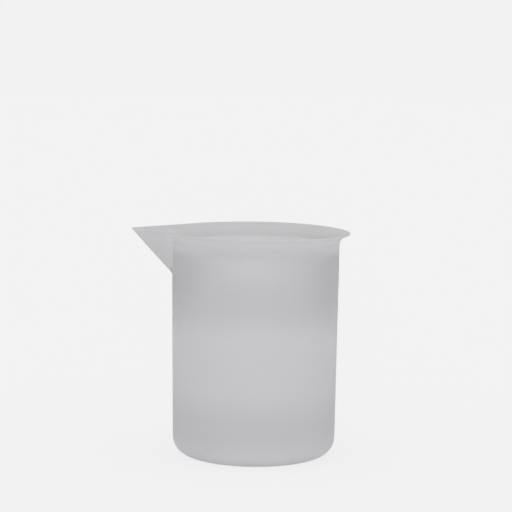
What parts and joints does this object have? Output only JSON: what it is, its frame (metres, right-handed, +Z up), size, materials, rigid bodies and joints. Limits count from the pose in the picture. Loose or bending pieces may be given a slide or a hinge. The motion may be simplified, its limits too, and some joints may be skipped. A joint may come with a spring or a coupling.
{
  "type": "resin mixing cup",
  "caption": "Soft translucent round beaker with a rounded foot, a thin flared lip and a pointed pouring spout, for measuring out and mixing casting resin.",
  "frame": {"origin": "centre of the flat base, on the cup's axis", "axes": "+Z up along the cup's axis to the mouth, -X towards the spout, Y across the cup"},
  "size_m": [0.0693, 0.06, 0.072],
  "materials": {
    "cup": "satin, milky translucent silicone rubber"
  },
  "bodies": {
    "root": {"cup": "cup"}
  },
  "joints": []
}
